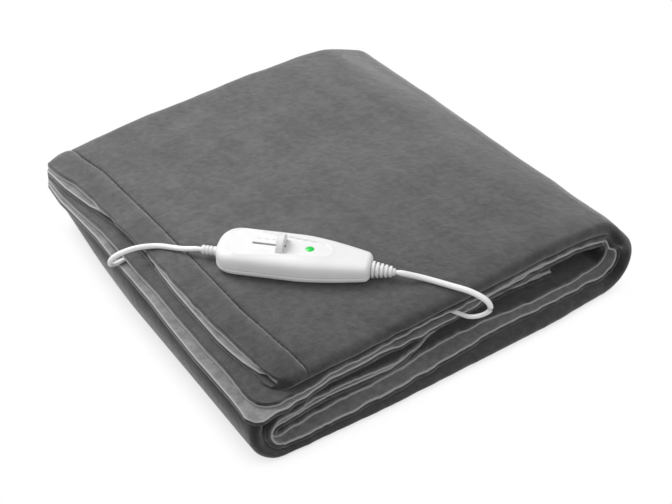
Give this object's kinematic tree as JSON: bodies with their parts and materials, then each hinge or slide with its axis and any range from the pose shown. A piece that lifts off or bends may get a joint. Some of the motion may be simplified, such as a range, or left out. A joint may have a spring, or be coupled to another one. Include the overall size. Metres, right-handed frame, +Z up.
{
  "type": "folded heated over-blanket with in-line slide controller",
  "caption": "Electric heated over-blanket in plush fabric, folded for storage, with an in-line slide-switch controller lying on its liftable top panel.",
  "frame": {"origin": "on the floor, under the middle of the folded pack, at the centre of its resting face", "axes": "+Z up, +X from the left fold to the right fold, +Y from the open hems at the front to the folds at the back"},
  "size_m": [0.5134, 0.4939, 0.1357],
  "materials": {
    "cover_fabric": "short plush pile, dark grey",
    "lining_fabric": "short fleece pile, light grey",
    "carrier_fleece": "thin non-woven sheet",
    "wire_jacket": "silicone jacket",
    "thread": "spun polyester",
    "case_plastic": "satin moulded",
    "knob_plastic": "satin moulded",
    "carriage_plastic": "moulded",
    "switch_plastic": "moulded",
    "contact_brass": "stamped",
    "spring_steel": "rolled strip",
    "zinc_steel": "zinc plated",
    "pin_nickel": "nickel plated",
    "led_window": "translucent, lit",
    "led_resin": "clear resin",
    "board_resin": "solder resist",
    "capacitor_resin": "cast case",
    "fuse_glass": "tube with end caps",
    "terminal_plastic": "moulded",
    "relief_rubber": "flexible moulding",
    "clamp_plastic": "moulded",
    "cable_jacket": "smooth jacket",
    "lead_blue": "wire insulation",
    "lead_brown": "wire insulation",
    "socket_plastic": "moulded"
  },
  "bodies": {
    "base": {"cover_base": "cover_fabric", "cover_bend": "cover_fabric", "lining_base": "lining_fabric", "lining_bend": "lining_fabric", "carrier_base": "carrier_fleece", "carrier_bend": "carrier_fleece", "wire_base": "wire_jacket", "wire_bend": "wire_jacket"},
    "top_panel": {"cover_top": "cover_fabric", "lining_top": "lining_fabric", "carrier_top": "carrier_fleece", "wire_top": "wire_jacket", "hem_stitching": "thread", "controller_top_shell": "case_plastic", "controller_bottom_shell": "case_plastic", "case_screws": "zinc_steel", "switch_base": "switch_plastic", "detent_spring": "spring_steel", "led_window": "led_window", "led": "led_resin", "circuit_board": "board_resin", "triac": "switch_plastic", "suppression_capacitor": "capacitor_resin", "fuse": "fuse_glass", "terminal_block": "terminal_plastic", "strain_relief_small": "relief_rubber", "strain_relief_large": "relief_rubber", "cable_clamps": "clamp_plastic", "mains_cable": "cable_jacket", "blanket_cable": "cable_jacket", "mains_leads": "lead_blue", "blanket_leads": "lead_brown", "socket_lower_shell": "socket_plastic", "socket_upper_shell": "socket_plastic", "socket_contacts": "contact_brass", "mains_plug_body": "case_plastic", "mains_plug_pins": "pin_nickel"},
    "slider": {"slider_knob": "knob_plastic", "slider_carriage": "carriage_plastic", "wiper_contact": "contact_brass"},
    "blanket_plug": {"connector_plug": "case_plastic", "connector_pins": "contact_brass"}
  },
  "joints": [
    {"name": "top_panel_fold", "type": "hinge", "parent": "base", "child": "top_panel", "pos_m": [0.217, 0, 0.04915], "axis": [0, 1, 0], "range_deg": [0, 60], "deforming": ["cover_bend", "lining_bend", "carrier_bend", "wire_bend"]},
    {"name": "slider_travel", "type": "slide", "parent": "top_panel", "child": "slider", "axis": [-0.6997, 0.7145, 0], "range_m": [0, 0.024]},
    {"name": "blanket_plug_pull", "type": "slide", "parent": "top_panel", "child": "blanket_plug", "axis": [1, 0, 0], "range_m": [0, 0.014], "deforming": ["blanket_cable"]}
  ]
}
